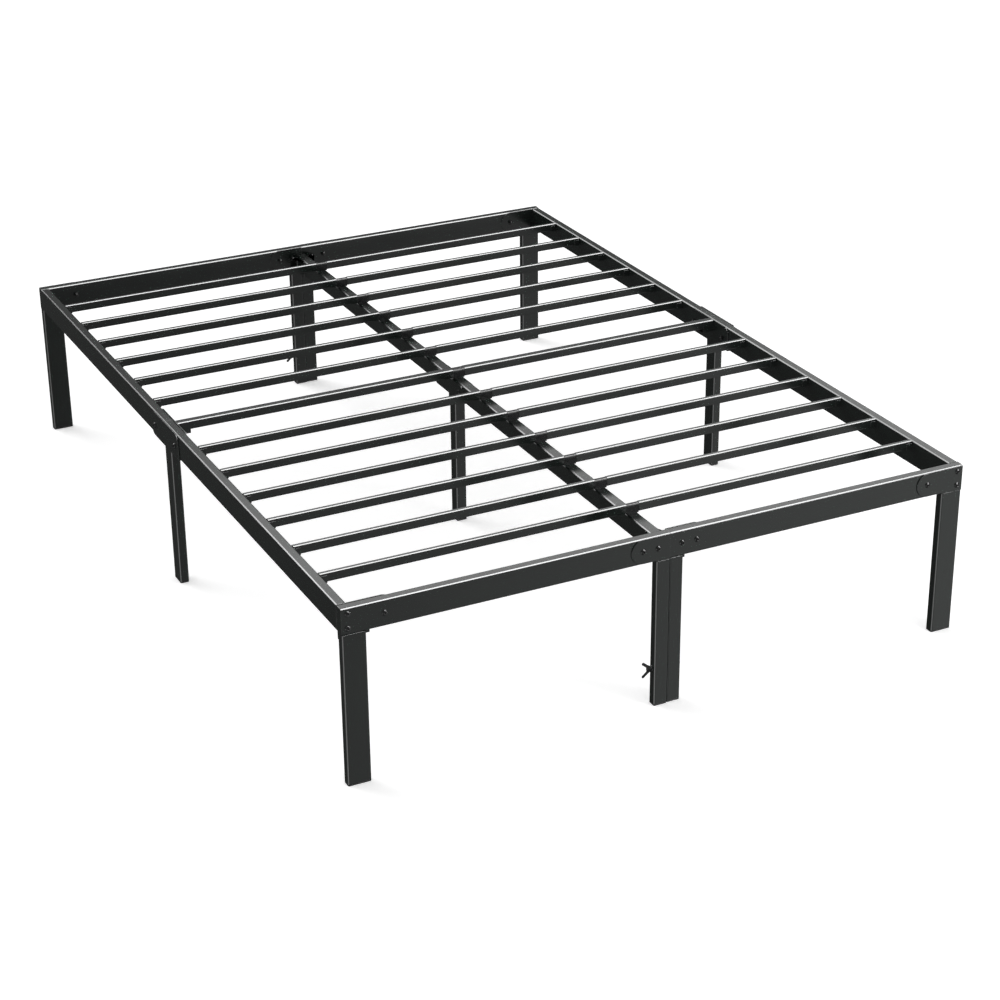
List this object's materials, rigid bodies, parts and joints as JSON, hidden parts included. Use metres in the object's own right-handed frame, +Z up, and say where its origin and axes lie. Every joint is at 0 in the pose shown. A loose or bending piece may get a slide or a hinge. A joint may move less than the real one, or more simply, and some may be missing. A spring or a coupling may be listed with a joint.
{
  "type": "bed frame",
  "caption": "Bolt-together black metal platform bed frame with rectangular tube rails, cross slats on a centre rail, tube legs and wing nuts that clamp the middle legs.",
  "frame": {"origin": "on the floor, under the middle of the frame", "axes": "+X across the bed, to the right seen from the foot; +Y along the bed, towards the head; +Z up"},
  "size_m": [1.3822, 1.9152, 0.375],
  "materials": {
    "powder_coat": "satin black powder coat on steel tube",
    "joiner_plastic": "matte black moulded plastic",
    "cap_plastic": "matte black moulded plastic",
    "black_hardware": "black-coated steel",
    "plated_steel": "dark plated steel"
  },
  "bodies": {
    "frame": {"foot_rail_left": "powder_coat", "foot_rail_right": "powder_coat", "head_rail_left": "powder_coat", "head_rail_right": "powder_coat", "side_rail_left_foot": "powder_coat", "side_rail_left_head": "powder_coat", "side_rail_right_foot": "powder_coat", "side_rail_right_head": "powder_coat", "centre_rail_foot": "powder_coat", "centre_rail_head": "powder_coat", "corner_leg_foot_left": "powder_coat", "corner_leg_foot_right": "powder_coat", "corner_leg_head_left": "powder_coat", "corner_leg_head_right": "powder_coat", "pair_leg_foot_left": "powder_coat", "pair_leg_foot_right": "powder_coat", "pair_leg_head_left": "powder_coat", "pair_leg_head_right": "powder_coat", "side_leg_left": "powder_coat", "side_leg_right": "powder_coat", "centre_leg": "powder_coat", "corner_plates_outer": "powder_coat", "corner_plates_inner": "powder_coat", "centre_plates_outer": "powder_coat", "centre_plates_inner": "powder_coat", "rail_splice_left": "powder_coat", "rail_splice_right": "powder_coat", "rail_splice_centre": "powder_coat", "end_bracket_foot": "powder_coat", "end_bracket_head": "powder_coat", "slat_01": "powder_coat", "slat_02": "powder_coat", "slat_03": "powder_coat", "slat_04": "powder_coat", "slat_05": "powder_coat", "slat_06": "powder_coat", "slat_07": "powder_coat", "slat_08": "powder_coat", "slat_09": "powder_coat", "slat_10": "powder_coat", "slat_11": "powder_coat", "slat_12": "powder_coat", "mid_bar_left": "powder_coat", "mid_bar_right": "powder_coat", "slat_joiners": "joiner_plastic", "mid_bar_joiner": "joiner_plastic", "slat_hooks_left": "powder_coat", "slat_hooks_right": "powder_coat", "mid_bar_cleats": "powder_coat", "rail_bolts": "black_hardware", "rail_nuts": "black_hardware", "corner_nut_plates": "plated_steel", "foot_caps": "cap_plastic", "wing_bolts": "black_hardware"},
    "wing_washer_foot": {"wing_washer_foot": "plated_steel"},
    "wing_nut_foot": {"wing_nut_foot": "black_hardware"},
    "wing_washer_head": {"wing_washer_head": "plated_steel"},
    "wing_nut_head": {"wing_nut_head": "black_hardware"}
  },
  "joints": [
    {"name": "wing_washer_foot_slide", "type": "slide", "parent": "frame", "child": "wing_washer_foot", "axis": [-1, 0, 0], "range_m": [0, 0.0081]},
    {"name": "wing_nut_foot_turn", "type": "hinge", "parent": "wing_washer_foot", "child": "wing_nut_foot", "pos_m": [-0.0316, -0.9425, 0.08], "axis": [-1, 0, 0], "range_deg": [0, 2880]},
    {"name": "wing_washer_head_slide", "type": "slide", "parent": "frame", "child": "wing_washer_head", "axis": [-1, 0, 0], "range_m": [0, 0.0081]},
    {"name": "wing_nut_head_turn", "type": "hinge", "parent": "wing_washer_head", "child": "wing_nut_head", "pos_m": [-0.0316, 0.9425, 0.08], "axis": [-1, 0, 0], "range_deg": [0, 2880]}
  ],
  "couplings": [
    {"joint": "wing_washer_foot_slide", "follows": "wing_nut_foot_turn", "m_per_rad": 0.00015915},
    {"joint": "wing_washer_head_slide", "follows": "wing_nut_head_turn", "m_per_rad": 0.00015915}
  ]
}
